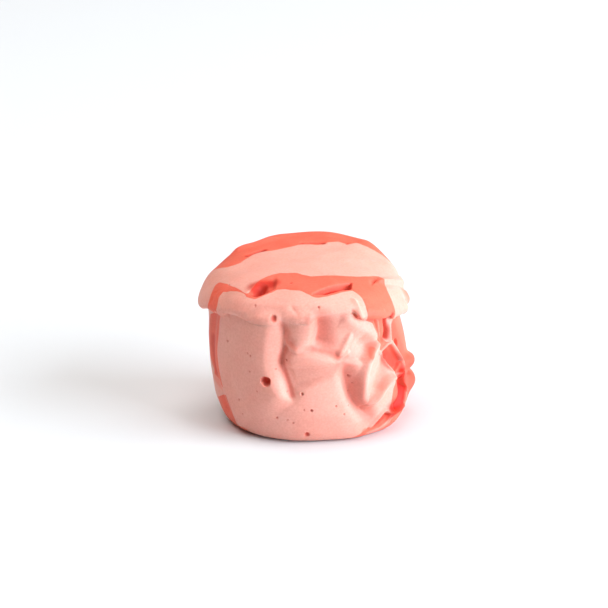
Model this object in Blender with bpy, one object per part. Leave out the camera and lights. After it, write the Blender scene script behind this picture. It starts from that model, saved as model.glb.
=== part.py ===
"""One unwrapped chunk of striped salt water taffy, standing on a cut end.

The chunk is a squat barrel cut from a pulled rope. Four slabs of taffy run through it from top to
bottom, pale and coral by turns. The knife smeared the upper cut into a cap that overhangs the wall,
and the twisted wrapper pressed folds into the wall, deepest on the right-hand side.

Lengths are in millimetres and turn to metres in one place, when a mesh is made. A bearing is an angle
in degrees round the upright axis: 0 faces the front (-Y), and positive bearings go to the right (+X).
"""

import math
from collections import namedtuple

import bmesh
import bpy
import numpy as np

MM = 0.001

# ---------------------------------------------------------------- driving dimensions

TOP_HEIGHT = 20.0  # the upper cut at the chunk's middle
MEAN_RADIUS = 12.1  # the wall's usual radius, which turns a bearing into a length along the wall
LAYER_GAP = 0.3  # clearance that neighbouring layers keep
THINNEST_LAYER = 0.65  # a pinched layer never gets thinner than this
MIDDLE = (0.12, -0.19)  # the outline's middle, moved onto the origin at the end

# The wall's radius at each bearing: at the base, 2.5, 5 and 10 mm up, and just under the cap.
WALL_LEVELS = (0.45, 2.5, 5.1, 10.0)
WALL_RADII = {
    -150: (9.8, 11.0, 11.7, 12.1, 12.1),
    -90: (9.8, 10.9, 11.6, 11.95, 12.1),
    -60: (9.9, 11.0, 11.6, 11.95, 12.1),
    -25: (10.0, 11.1, 11.8, 12.1, 12.2),
    10: (10.0, 11.1, 11.8, 12.1, 12.2),
    40: (10.9, 11.8, 12.1, 12.2, 12.1),
    65: (11.5, 12.6, 12.7, 12.2, 11.7),
    90: (11.2, 12.5, 12.7, 12.3, 11.6),
    120: (10.2, 11.6, 12.1, 12.2, 11.9),
    165: (9.8, 11.1, 11.8, 12.1, 12.0),
}

# The cap at each bearing: how far it overhangs the wall, the height of its lower lip, and the height
# of its shoulder, where the upper cut starts to turn down.
CAP = {
    -165: (0.45, 17.4, 19.75),
    -140: (0.6, 16.2, 18.75),
    -110: (1.0, 15.0, 17.3),
    -85: (1.15, 14.55, 16.8),
    -62: (0.95, 15.5, 17.5),
    -42: (0.6, 16.3, 18.0),
    -22: (0.2, 16.1, 18.1),
    -3: (0.15, 16.4, 18.3),
    14: (0.25, 16.9, 18.3),
    25: (0.35, 17.1, 18.3),
    33: (0.75, 16.1, 17.8),
    50: (0.95, 15.4, 17.2),
    68: (0.95, 14.6, 16.9),
    90: (0.65, 14.5, 16.9),
    110: (0.5, 15.4, 17.9),
    140: (0.5, 17.0, 19.6),
    168: (0.4, 17.6, 20.05),
}

Fold = namedtuple("Fold", "path height widths")
Dent = namedtuple("Dent", "at depth radius")

# Folds pressed into the wall. A path is a list of (bearing, height above the base). A positive height
# stands proud and a negative one is a furrow. The two widths are left and right of the path's own
# direction, so that a fold can be steep on one side.
WALL_FOLDS = (
    # the long furrow down the front, and the rounded pillar to its left
    Fold([(-12.5, 16.8), (-11, 15.2), (-9, 13.9), (-12.6, 12.4), (-13.8, 10.6), (-12, 8.6), (-8.7, 6.2)],
         -0.95, (0.55, 0.5)),
    Fold([(-18, 16.2), (-17.5, 13), (-19.5, 10), (-17, 7), (-12, 5)], 0.35, (0.8, 1.7)),
    # the fold that drapes from the cap and sweeps left across the furrow
    Fold([(-1, 16.9), (0.5, 15.8), (0.6, 14.6), (-2.5, 13.4), (-6.5, 12.7), (-10, 12.2)],
         0.75, (0.75, 0.9)),
    Fold([(-9.5, 14), (-7, 13.4), (-4.5, 13.6)], -0.35, (0.4, 0.4)),
    # the sunken panel right of it, closed below by a long slanting ridge
    Fold([(7, 16), (8, 14.4), (10, 13.3)], -0.7, (1.7, 0.85)),
    Fold([(-7, 11.9), (-1.7, 12.6), (6.8, 12.3), (14.8, 11.8), (23.2, 11.1), (28, 10.6)],
         0.6, (0.65, 1.7)),
    # two thin slanting folds at the panel's right-hand end
    Fold([(27.5, 15.2), (24.3, 13.3), (21.4, 11.6)], 0.5, (0.6, 0.5)),
    Fold([(30, 12.4), (25.5, 11.7), (21.4, 11.2)], 0.35, (0.5, 0.45)),
    # the deep furrow and the sharp ridge beyond it
    Fold([(22, 10.6), (24, 8.8), (27, 6.6), (32.5, 4.8), (42, 3.1)], -0.95, (1.05, 1.15)),
    Fold([(45, 12.6), (40, 11.5), (37, 9.4), (35.6, 7.1), (37.5, 5.5), (43, 4.4)], 1.0, (0.65, 0.95)),
    # the scoop that the ridge shares with its neighbour, which closes it below in a V
    Fold([(50, 10.2), (47, 7.9), (43.5, 6.2)], -0.65, (1.2, 1.1)),
    Fold([(72, 8.3), (64, 6.6), (56, 5.7), (48.6, 4.9), (43.8, 4.3)], 0.75, (0.65, 0.7)),
    # the saddle above, and the band that runs along the cap's underside
    Fold([(35.5, 12.6), (37.5, 11.4)], -0.55, (1.35, 1.3)),
    Fold([(25, 16.2), (33.4, 15.3), (40.7, 13.8), (45.5, 12.6)], 0.5, (0.7, 1.1)),
    # the wedge and its slit below the cap's right-hand corner, and the ridge beside them
    Fold([(43, 15.4), (46.6, 13.8), (48.3, 12.4)], -0.35, (0.9, 0.8)),
    Fold([(51.4, 15), (52.8, 13.2)], -0.8, (0.45, 0.4)),
    Fold([(60, 14.6), (57, 13.4), (55.8, 12.3)], 0.55, (0.55, 0.6)),
    # the crumpled side: a sunken facet with raised rims
    Fold([(60, 9.9), (65, 8.9)], -0.75, (1.4, 1.3)),
    Fold([(61, 11.9), (55, 11.5), (49, 11)], 0.4, (0.35, 0.4)),
    Fold([(49, 11), (53, 9.4), (58.5, 8.1), (65.7, 7.3)], 0.35, (0.35, 0.4)),
    Fold([(60.3, 11.8), (68, 10.1), (76.5, 8.4), (82, 7.2), (79, 6.1), (75, 5.4)], 0.55, (0.4, 0.35)),
    Fold([(75, 5.4), (74.5, 4.5), (78, 3.4), (78, 2.3), (74, 1.2)], 0.5, (0.4, 0.35)),
    # the furrow and small rolled pleat below
    Fold([(71, 5.9), (69.5, 4.2), (65.5, 2.7)], -0.75, (0.7, 0.75)),
    Fold([(47, 1.7), (53.5, 2.4), (59, 2.9), (65, 2.1)], 0.4, (0.35, 0.3)),
    Fold([(50, 1.2), (57, 2.0), (62, 1.8)], -0.4, (0.35, 0.4)),
    # two rounded bumps that stand out of the right-hand outline
    Fold([(86, 8.1), (90, 7.5)], 1.0, (0.75, 0.75)),
    Fold([(87, 5.1), (92, 4.3), (92, 3.6)], 0.8, (0.85, 0.8)),
    Fold([(84, 6.4), (92, 6.0)], -0.7, (0.5, 0.5)),
    # the front slab's left-hand edge, and the furrow where coral shows beside it
    Fold([(-57, 15.5), (-61.5, 11.7), (-63.5, 9.6), (-62, 7.7), (-58.5, 6), (-54.5, 4.3), (-54, 2.6),
          (-56, 1)], 0.45, (1.8, 0.45)),
    Fold([(-67, 15), (-68.5, 11), (-69.5, 8.6), (-67.5, 6.6), (-64, 4.9), (-60.5, 3.2), (-60, 1.6)],
         -0.45, (0.6, 0.75)),
    Fold([(-78, 7.2), (-84, 5.4)], -0.4, (1.0, 1.0)),
)

# Folds on the side that faces away, where the wrapper's twist pressed a loose fan of creases.
BACK_FOLD_COUNT = 15
BACK_BEARINGS = (104.0, 258.0)
BACK_FOLD_HEIGHTS = (0.3, 0.8)
BACK_FOLD_WIDTHS = (0.55, 1.2)
BACK_SEED = 11

# Folds and openings in the upper cut. A path is a list of (x, y) seen from above.
CAP_FOLDS = (
    Fold([(-6.9, -9.2), (-5.3, -8.8), (-4.1, -8.0)], -2.0, (1.35, 0.95)),
    Fold([(1.6, -10.1), (3.7, -8.6), (5.3, -7.2)], -0.75, (0.6, 0.55)),
    Fold([(-7.0, 3.8), (-5.2, 4.4)], -0.4, (0.45, 0.4)),
    Fold([(0.1, 6.2), (1.7, 6.8)], -0.5, (0.45, 0.4)),
    Fold([(6.1, -10.2), (6.0, -8.7)], 0.3, (0.5, 0.5)),
    Fold([(9.3, -4.2), (10.9, -2.4), (12.2, -0.6)], -0.22, (0.5, 0.7)),
    Fold([(-9.5, -1.0), (-4.0, 1.5), (2.0, 1.2)], -0.16, (2.2, 2.2)),
    Fold([(3.0, 8.9), (7.0, 7.8)], 0.2, (1.3, 1.3)),
    Fold([(-8.4, 8.0), (-4.5, 9.6)], 0.25, (0.8, 0.8)),
)

# Air bubbles large enough to open in the skin, on the wall.
WALL_BUBBLES = (
    Dent((-22.4, 8.7), 0.8, 0.75),
    Dent((-17.8, 16.0), 0.3, 0.42),
    Dent((65.5, 11.2), 0.3, 0.4),
)

# Where each slab ends. TOP gives the seam's y across the upper cut, keyed by x. LEFT and RIGHT give
# its y where it reaches the wall on either side, keyed by height. MIDDLE_Y is its y deep inside.
Seam = namedtuple("Seam", "middle_y top left right")
SEAMS = (
    Seam(
        -9.0,
        {-12: -5.2, -10: -4.9, -8.8: -5.9, -7.8: -7.1, -7.1: -8.7, -6.5: -9.7, -5.3: -10.2, -3.5: -9.1,
         -2.7: -8.8, -0.7: -9.2, 0.7: -10.3, 1.4: -10.6, 2.9: -9.8, 4.7: -8.4, 5.7: -7.9, 6.3: -9.6,
         7.2: -10.9, 12: -10.9},
        {16: -6.2, 11.7: -5.5, 9.6: -5.1, 7.8: -5.3, 6: -5.9, 4.3: -6.5, 2.6: -6.2, 0.9: -5.1, 0: -4.9},
        {15.4: -9.2, 13.8: -8.2, 12.4: -7.9, 11: -7.8, 9.3: -6.7, 7.5: -5.0, 6: -4.2, 4: -4.7, 2.6: -5.3,
         0: -6.2},
    ),
    Seam(
        -5.8,
        {-12: -1.6, -10.9: -1.5, -10: -2.5, -9: -4.8, -7.8: -6.6, -7.1: -8.0, -6.2: -6.9, -5.3: -6.3, -3.6: -6.3,
         -2.7: -5.8, -0.7: -6.0, 1.4: -5.8, 2.9: -5.6, 4.7: -4.8, 6.5: -4.0, 8: -3.5, 9.3: -2.0, 10: -4.6,
         10.8: -7.4, 13: -8.4},
        {15: -3.9, 11: -3.8, 9: -3.0, 7: -2.8, 5.6: -4.9, 4.2: -5.2, 2.8: -4.3, 1.5: -3.6, 0: -3.4},
        {15: -6.9, 13: -6.9, 12.1: -6.3, 11.4: -5.9, 8.5: -3.1, 7.2: -1.9, 6.2: -2.3, 5.3: -2.9, 4.3: -2.5,
         3.2: -1.5, 1.9: -2.2, 0: -2.4},
    ),
    Seam(
        6.8,
        {-12.5: 4.6, -10.4: 4.5, -9.1: 3.9, -8.2: 4.7, -6.9: 5.8, -5.5: 7.0, -3.9: 7.2, -0.7: 7.0, 0.5: 5.9,
         1.5: 6.4, 4.2: 5.8, 6.7: 5.5, 8.7: 6.2, 10.5: 5.3, 12.5: 4.8},
        {16: 4.5, 12: 5.4, 8: 4.2, 4: 5.2, 0: 4.6},
        {15: -4.6, 13: -5.3, 12.1: -5.5, 11.4: -5.2, 8.5: -2.4, 7.2: -1.2, 6.2: -1.6, 5.3: -2.2, 4.3: -1.8,
         3.2: -0.8, 1.9: -1.5, 0: -1.6},
    ),
)
SEAM_REACH = 10.0  # a seam has bent all the way to its side curve this far from the middle
LIP_AT_MIDDLE, LIP_AT_SIDE = 16.6, 14.5  # heights where a seam turns from its side curve to its top curve
LIP_BLEND = 0.9

# The blank's mesh: cells along a cube's edge, and how much finer it is on the side with most folds.
BLANK_CELLS = 27
FINE_SIDE = 30.0
FINER = 0.34
SMOOTHING = (0.5, 0.3)
NARROWEST_FOLD = 0.6
SLAB_HALF_WIDTH = 15.0
SLAB_COLUMNS = 22
SLAB_ROWS = (-1.5, 1.5, 3.6, 5.6, 7.6, 9.6, 11.5, 13.2, 14.8, 16.4, 22.0)

PALE = ((0.955, 0.53, 0.44, 1.0), 0.5)
CORAL = ((0.91, 0.16, 0.095, 1.0), 0.45)


# ---------------------------------------------------------------- curves and blends


def ease(t):
    """0 below 0, 1 above 1, and a smooth S between."""
    t = np.clip(t, 0.0, 1.0)
    return t * t * (3.0 - 2.0 * t)


def round_table(table, bearing):
    """Rows of a table keyed by bearing, blended smoothly and joined up behind."""
    keys = sorted(table)
    rows = np.array([table[k] for k in keys], float)
    keys = np.array([keys[-1] - 360.0, *keys, keys[0] + 360.0])
    rows = np.concatenate([rows[-1:], rows, rows[:1]])
    turned = (bearing - keys[0]) % 360.0 + keys[0]
    i = np.clip(np.searchsorted(keys, turned, side="right") - 1, 0, len(keys) - 2)
    share = ease((turned - keys[i]) / (keys[i + 1] - keys[i]))[..., None]
    return (rows[i] * (1.0 - share) + rows[i + 1] * share).T


def line_table(table, at):
    """Values of a table keyed by a length, blended smoothly and held past its ends."""
    keys = np.array(sorted(table), float)
    values = np.array([table[k] for k in sorted(table)], float)
    i = np.clip(np.searchsorted(keys, at, side="right") - 1, 0, len(keys) - 2)
    share = ease((at - keys[i]) / (keys[i + 1] - keys[i]))
    return values[i] * (1.0 - share) + values[i + 1] * share


def curve_through(path, steps=6):
    """A path's points joined by a smooth curve, with a few more points in each stretch."""
    points = np.array(path, float)
    ends = np.concatenate([[2 * points[0] - points[1]], points, [2 * points[-1] - points[-2]]])
    found = []
    for a, b, c, d in zip(ends, ends[1:], ends[2:], ends[3:]):
        for t in np.arange(steps) / steps:
            bend = 2 * a - 5 * b + 4 * c - d
            twist = 3 * b - a - 3 * c + d
            found.append(b + 0.5 * ((c - a) * t + bend * t**2 + twist * t**3))
    return np.array([*found, points[-1]])


# ---------------------------------------------------------------- the smooth chunk


def control_points(bearing):
    """The half outline at each bearing, base to top, as (share of its length, radius, height)."""
    base, low, mid, high, under_cap = round_table(WALL_RADII, bearing)
    overhang, lip, shoulder = round_table(CAP, bearing)
    cap = under_cap + overhang
    tuck = ease(overhang / 0.6)
    rise = TOP_HEIGHT - shoulder
    flat = np.zeros_like(base)
    return (
        (0.000, flat, flat),
        (0.120, base * 0.86, flat),
        (0.150, base, flat + WALL_LEVELS[0]),
        (0.225, low, flat + WALL_LEVELS[1]),
        (0.310, mid, flat + WALL_LEVELS[2]),
        (0.460, high, flat + WALL_LEVELS[3]),
        (0.625, under_cap, lip - 0.35 + 0.5 * tuck),
        (0.645, under_cap + overhang * 0.72, lip),
        (0.670, cap, lip + 0.65),
        (0.700, cap * 0.945, shoulder),
        (0.790, cap * 0.78, shoulder + rise * 0.50),
        (0.890, cap * 0.45, shoulder + rise * 0.86),
        (1.000, flat, flat + TOP_HEIGHT),
    )


def outline(bearing, share):
    """Radius and height at a share of the half outline's length, on a smooth curve."""
    rows = control_points(bearing)
    knots = np.array([row[0] for row in rows])
    last = len(knots) - 1
    span = np.clip(np.searchsorted(knots, share, side="right") - 1, 0, last - 1)
    step = knots[span + 1] - knots[span]
    t = (share - knots[span]) / step
    each = np.arange(len(share))

    def through(values):
        def slope(i):
            before, after = np.clip(i - 1, 0, last), np.clip(i + 1, 0, last)
            return (values[after, each] - values[before, each]) / (knots[after] - knots[before])

        start, end = values[span, each], values[span + 1, each]
        return (
            (2 * t**3 - 3 * t**2 + 1) * start
            + (t**3 - 2 * t**2 + t) * step * slope(span)
            + (3 * t**2 - 2 * t**3) * end
            + (t**3 - t**2) * step * slope(span + 1)
        )

    return through(np.array([row[1] for row in rows])), through(np.array([row[2] for row in rows]))


def fold_relief(fold, points):
    """How far a fold moves each point outwards. Points and path are lengths on one flat sheet."""
    path = curve_through(fold.path)
    reach = 3.0 * max(fold.widths)
    near = np.all((points > path.min(0) - reach) & (points < path.max(0) + reach), axis=1)
    moved = np.zeros(len(points))
    some = points[near]
    best = np.full(len(some), np.inf)
    signed = np.zeros(len(some))
    for a, b in zip(path, path[1:]):
        along = b - a
        t = np.clip(((some - a) @ along) / (along @ along), 0.0, 1.0)
        away = some - (a + t[:, None] * along)
        distance = np.hypot(away[:, 0], away[:, 1])
        side = np.sign(along[0] * away[:, 1] - along[1] * away[:, 0])
        closer = distance < best
        best = np.where(closer, distance, best)
        signed = np.where(closer, distance * side, signed)
    width = np.maximum(np.where(signed > 0, fold.widths[0], fold.widths[1]), NARROWEST_FOLD)
    moved[near] = fold.height * np.exp(-((signed / width) ** 2))
    return moved


def on_sheet(path):
    """A wall path, in bearings and heights, as lengths on the unrolled wall."""
    return [(math.radians(bearing) * MEAN_RADIUS, height) for bearing, height in path]


def back_folds():
    """A loose fan of creases over the side that faces away."""
    draw = np.random.default_rng(BACK_SEED)
    folds = []
    for n in range(BACK_FOLD_COUNT):
        first, last = BACK_BEARINGS
        bearing = first + (last - first) * (n + draw.uniform(0.2, 0.8)) / BACK_FOLD_COUNT
        low = draw.uniform(3.2, 6.5)
        high = low + draw.uniform(4.0, 8.0)
        lean = draw.uniform(-12.0, 12.0)
        sway = draw.uniform(-5.0, 5.0)
        path = [(bearing, low), (bearing + lean / 2 + sway, (low + high) / 2), (bearing + lean, high)]
        height = draw.uniform(*BACK_FOLD_HEIGHTS) * (1 if n % 2 else -1)
        folds.append(Fold(path, height, tuple(draw.uniform(*BACK_FOLD_WIDTHS, size=2))))
    return folds


def relief(bearing, share, points):
    """How far folds and bubbles move each point of the smooth chunk outwards."""
    on_wall = ease((share - 0.15) / 0.05) * (1.0 - ease((share - 0.635) / 0.025))
    on_cap = ease((share - 0.65) / 0.03)
    proud = np.zeros(len(points))
    sunk = np.zeros(len(points))
    for fold in (*WALL_FOLDS, *back_folds()):
        start = min(b for b, _ in fold.path) - 60.0
        turned = (bearing - start) % 360.0 + start
        sheet = np.stack([np.radians(turned) * MEAN_RADIUS, points[:, 2]], axis=1)
        moved = on_wall * fold_relief(fold._replace(path=on_sheet(fold.path)), sheet)
        proud = np.maximum(proud, moved)
        sunk = np.minimum(sunk, moved)
    for fold in CAP_FOLDS:
        moved = on_cap * fold_relief(fold, points[:, :2])
        proud = np.maximum(proud, moved)
        sunk = np.minimum(sunk, moved)
    for bubble in WALL_BUBBLES:
        x, z = on_sheet([bubble.at])[0]
        away = np.hypot(np.radians(bearing) * MEAN_RADIUS - x, points[:, 2] - z)
        sunk -= on_wall * bubble.depth * np.sqrt(np.clip(1.0 - (away / bubble.radius) ** 2, 0.0, 1.0))
    return proud + sunk


def mesh_points(mesh, what="co"):
    found = np.empty(len(mesh.vertices) * 3)
    mesh.vertices.foreach_get(what, found)
    return found.reshape(-1, 3)


def make_blank():
    """The whole chunk in one closed mesh: a finely divided cube, blown up to its form and folded."""
    shape = bmesh.new()
    bmesh.ops.create_cube(shape, size=2.0)
    bmesh.ops.subdivide_edges(shape, edges=shape.edges[:], cuts=BLANK_CELLS - 1, use_grid_fill=True)
    mesh = bpy.data.meshes.new("chunk_blank")
    shape.to_mesh(mesh)
    shape.free()

    ball = np.tan(mesh_points(mesh) * math.pi / 4)
    ball /= np.linalg.norm(ball, axis=1)[:, None]
    share = np.arccos(np.clip(-ball[:, 2], -1.0, 1.0)) / math.pi
    turn = np.arctan2(ball[:, 0], -ball[:, 1])
    turn -= FINER * np.sin(turn - math.radians(FINE_SIDE))
    bearing = (np.degrees(turn) + 180.0) % 360.0 - 180.0

    radius, height = outline(bearing, share)
    turn = np.radians(bearing)
    points = np.stack([radius * np.sin(turn), -radius * np.cos(turn), height], axis=1)
    mesh.vertices.foreach_set("co", points.ravel())
    mesh.update()
    points += mesh_points(mesh, "normal") * relief(bearing, share, points)[:, None]
    points[:, 2] = np.maximum(points[:, 2], 0.0)
    mesh.vertices.foreach_set("co", ((points - (*MIDDLE, 0.0)) * MM).ravel())
    finish_blank(mesh)
    return mesh


def finish_blank(mesh):
    """Take the sharpest corners off the folds, and leave the flat base as one face."""
    shape = bmesh.new()
    shape.from_mesh(mesh)
    upright = [v for v in shape.verts if v.co.z > 0.3 * MM]
    for factor in SMOOTHING:
        bmesh.ops.smooth_vert(
            shape, verts=upright, factor=factor, use_axis_x=True, use_axis_y=True, use_axis_z=True
        )
    base = [f for f in shape.faces if all(v.co.z < 0.001 * MM for v in f.verts)]
    bmesh.ops.dissolve_faces(shape, faces=base, use_verts=True)
    shape.to_mesh(mesh)
    shape.free()


# ---------------------------------------------------------------- cutting the chunk into its slabs


def seam_y(seam, x, z):
    """Where a seam runs, at each (x, z)."""
    bend = np.clip(np.abs(x) / SEAM_REACH, 0.0, 1.0) ** 2
    side = np.where(x < 0, line_table(seam.left, z), line_table(seam.right, z))
    below = seam.middle_y + (side - seam.middle_y) * bend
    lip = LIP_AT_MIDDLE + (LIP_AT_SIDE - LIP_AT_MIDDLE) * np.clip(np.abs(x) / 11.0, 0.0, 1.0) ** 2
    above = ease((z - lip) / LIP_BLEND + 0.5)
    return below * (1.0 - above) + line_table(seam.top, x) * above


def seams_at(x, z):
    """All seams from front to back, kept apart by a layer's least thickness and the gap."""
    found = [seam_y(seam, x, z) for seam in SEAMS]
    for i in range(1, len(found)):
        found[i] = np.maximum(found[i], found[i - 1] + THINNEST_LAYER + LAYER_GAP)
    return found


def make_slab(name, front, back):
    """A closed slab between two seams, or out to a plain face where the index names no seam."""
    shape = bmesh.new()
    bmesh.ops.create_grid(shape, x_segments=SLAB_COLUMNS, y_segments=len(SLAB_ROWS) - 1, size=1.0)
    bmesh.ops.triangulate(shape, faces=shape.faces[:])
    thickened = bmesh.ops.extrude_face_region(shape, geom=shape.faces[:], use_keep_orig=True)
    far_side = [v for v in thickened["geom"] if isinstance(v, bmesh.types.BMVert)]
    bmesh.ops.translate(shape, verts=far_side, vec=(0.0, 0.0, 1.0))
    mesh = bpy.data.meshes.new(name)
    shape.to_mesh(mesh)
    shape.free()

    across, up, depth = mesh_points(mesh).T
    x = across * SLAB_HALF_WIDTH
    z = np.interp(up, np.linspace(-1.0, 1.0, len(SLAB_ROWS)), SLAB_ROWS)
    y = np.where(depth < 0.5, -SLAB_HALF_WIDTH, SLAB_HALF_WIDTH)
    seams = seams_at(x, z)
    if 0 <= front < len(seams):
        y = np.where(depth < 0.5, seams[front] + LAYER_GAP / 2, y)
    if 0 <= back < len(seams):
        y = np.where(depth > 0.5, seams[back] - LAYER_GAP / 2, y)
    points = np.stack([x, y, z], axis=1)
    mesh.vertices.foreach_set("co", ((points - (*MIDDLE, 0.0)) * MM).ravel())
    mesh.update()
    face_outwards(mesh)

    slab = bpy.data.objects.new(name, mesh)
    slab.hide_render = True
    slab.display_type = "WIRE"
    bpy.context.scene.collection.objects.link(slab)
    return slab


def face_outwards(mesh):
    shape = bmesh.new()
    shape.from_mesh(mesh)
    bmesh.ops.recalc_face_normals(shape, faces=shape.faces[:])
    shape.to_mesh(mesh)
    shape.free()


def make_material(name, look):
    color, roughness = look
    material = bpy.data.materials.new(name)
    material.use_nodes = True
    shader = material.node_tree.nodes["Principled BSDF"]
    shader.inputs["Base Color"].default_value = color
    shader.inputs["Roughness"].default_value = roughness
    shader.inputs["Subsurface Weight"].default_value = 0.3
    shader.inputs["Subsurface Scale"].default_value = 0.5 * MM
    return material


def make_layer(name, blank, slab, material):
    """One slab of taffy: the folded chunk, kept where the slab is."""
    layer = bpy.data.objects.new(name, blank.copy())
    layer.data.materials.append(material)
    layer.data.shade_smooth()
    bpy.context.scene.collection.objects.link(layer)
    cut = layer.modifiers.new("slab", "BOOLEAN")
    cut.operation = "INTERSECT"
    cut.object = slab
    return layer


def main():
    for old in list(bpy.data.objects):
        bpy.data.objects.remove(old)
    blank = make_blank()
    pale = make_material("pale_taffy", PALE)
    coral = make_material("coral_taffy", CORAL)
    layers = (
        ("front_pale_layer", pale),
        ("front_coral_layer", coral),
        ("middle_pale_layer", pale),
        ("back_coral_layer", coral),
    )
    for i, (name, material) in enumerate(layers):
        slab = make_slab(name + "_slab", i - 1, i)
        make_layer(name, blank, slab, material)
    bpy.data.meshes.remove(blank)


main()
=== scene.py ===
# %% [markdown]
# # One unwrapped piece of salt water taffy
#
# The real piece is a chunk cut from a pulled rope, a little over an inch across. Four slabs of taffy run
# through it from top to bottom, pale and coral by turns. The knife smeared the upper cut into a cap that
# hangs over the wall, and the twisted wrapper pressed soft folds into the side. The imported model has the
# slabs at their true size, so this lesson keeps that size and their order, and draws skin and seams finely.

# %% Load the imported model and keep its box
import math

import bmesh
import bpy
import numpy as np
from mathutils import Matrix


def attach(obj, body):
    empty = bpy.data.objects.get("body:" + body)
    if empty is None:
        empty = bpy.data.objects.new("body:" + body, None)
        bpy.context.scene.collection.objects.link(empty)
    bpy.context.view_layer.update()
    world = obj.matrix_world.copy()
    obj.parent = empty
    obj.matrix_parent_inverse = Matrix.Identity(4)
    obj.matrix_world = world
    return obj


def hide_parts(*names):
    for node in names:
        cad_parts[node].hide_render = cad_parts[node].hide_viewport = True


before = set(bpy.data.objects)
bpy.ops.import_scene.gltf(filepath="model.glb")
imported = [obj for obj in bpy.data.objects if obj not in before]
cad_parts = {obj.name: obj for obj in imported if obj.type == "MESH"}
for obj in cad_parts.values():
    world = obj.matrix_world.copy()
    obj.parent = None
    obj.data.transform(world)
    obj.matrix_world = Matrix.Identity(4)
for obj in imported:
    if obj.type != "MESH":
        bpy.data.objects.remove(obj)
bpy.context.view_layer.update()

MM = 0.001


def add_object(name, data):
    made = bpy.data.objects.new(name, data)
    bpy.context.scene.collection.objects.link(made)
    return made


# %% [markdown]
# ## The camera
#
# A long lens a good way off keeps a sweet this small from bulging towards the viewer. It looks down by 19
# degrees, so that the smeared top and the folded wall are both seen. The camera comes first, because every
# later choice of detail is judged through it.

# %% Place the camera
MIDDLE = np.array([0.12, -0.19, 0.0])  # the outline's middle, moved onto the origin in every piece
LOOK_DOWN = math.radians(19.0)
CAMERA_DISTANCE = 416.2
AIM = np.array([-0.248, 1.674, 13.86]) - MIDDLE

lens = bpy.data.cameras.new("product_lens")
lens.lens = 200.0
lens.sensor_width = 36.0
lens.clip_start = 0.01
lens.clip_end = 10.0
camera = add_object("camera", lens)
backwards = np.array([0.0, -math.cos(LOOK_DOWN), math.sin(LOOK_DOWN)])
camera.location = (AIM + backwards * CAMERA_DISTANCE) * MM
camera.rotation_euler = (math.pi / 2 - LOOK_DOWN, 0.0, 0.0)
bpy.context.scene.camera = camera
print("camera at", [round(v, 4) for v in camera.location])

# %% [markdown]
# ## The chunk before it was folded
#
# Without its folds the chunk is a squat barrel with a cap like a mushroom's. A cap like this could be spun
# from one outline, but this one droops more on some sides than on others. So the outline's control points
# are blended from tables that are keyed by the bearing round the upright axis: 0 faces the front, and
# positive bearings go to the right. All lengths are millimetres until a mesh is made.

# %% Tables of the smooth chunk
TOP_HEIGHT = 20.0
MEAN_RADIUS = 12.1  # of the wall's flat sheet, on which folds are measured
FULL_OVERHANG = 0.6  # a cap that hangs over by this much or more has a lip with a full roll

# radius of the wall at five heights: base, 2.5, 5.1 and 10 mm up, and just under the cap
WALL_LEVELS = (0.45, 2.5, 5.1, 10.0)
WALL_RADII = {
    -150: (9.8, 11, 11.7, 12.1, 12.1),
    -90: (9.8, 10.9, 11.6, 11.95, 12.1),
    -60: (9.9, 11, 11.6, 11.95, 12.1),
    -25: (10, 11.1, 11.8, 12.1, 12.2),
    10: (10, 11.1, 11.8, 12.1, 12.2),
    40: (10.9, 11.8, 12.1, 12.2, 12.1),
    65: (11.5, 12.6, 12.7, 12.2, 11.35),
    90: (11.2, 12.5, 12.7, 12.2, 11.1),
    120: (10.2, 11.6, 12.1, 12.2, 11.75),
    165: (9.8, 11.1, 11.8, 12.1, 12),
}

# the cap's overhang, the height of its lower lip, and the height of its shoulder
CAP = {
    -165: (0.45, 17.4, 19.75),
    -140: (0.6, 16.2, 18.75),
    -110: (1, 15, 17.3),
    -85: (1.15, 14.55, 16.8),
    -62: (0.95, 15.5, 17.5),
    -42: (0.6, 16.3, 18),
    -22: (0.2, 16.1, 18.1),
    -3: (0.2, 16.5, 18.3),
    14: (0.32, 16.95, 18.3),
    25: (0.36, 17.2, 18.3),
    33: (0.75, 16.1, 17.8),
    50: (0.95, 15.4, 17.2),
    68: (1.3, 14.6, 16.9),
    90: (1.15, 14.5, 16.9),
    110: (0.75, 15.4, 17.9),
    140: (0.5, 17, 19.6),
    168: (0.4, 17.6, 20.05),
}
print("bearings in the tables:", len(WALL_RADII), "for the wall and", len(CAP), "for the cap")

# %% Read a table between its entries
def ease(t):
    """0 below 0, 1 above 1, and a smooth S between."""
    t = np.clip(t, 0.0, 1.0)
    return t * t * (3.0 - 2.0 * t)


def round_table(table, bearing):
    """Rows of a table keyed by bearing, blended smoothly and joined up behind."""
    keys = sorted(table)
    rows = np.array([table[k] for k in keys], float)
    keys = np.array([keys[-1] - 360.0, *keys, keys[0] + 360.0])
    rows = np.concatenate([rows[-1:], rows, rows[:1]])
    turned = (bearing - keys[0]) % 360.0 + keys[0]
    i = np.clip(np.searchsorted(keys, turned, side="right") - 1, 0, len(keys) - 2)
    share = ease((turned - keys[i]) / (keys[i + 1] - keys[i]))[..., None]
    return (rows[i] * (1.0 - share) + rows[i + 1] * share).T


print("cap at the front:", round_table(CAP, np.array([0.0])).ravel().round(2))

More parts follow.
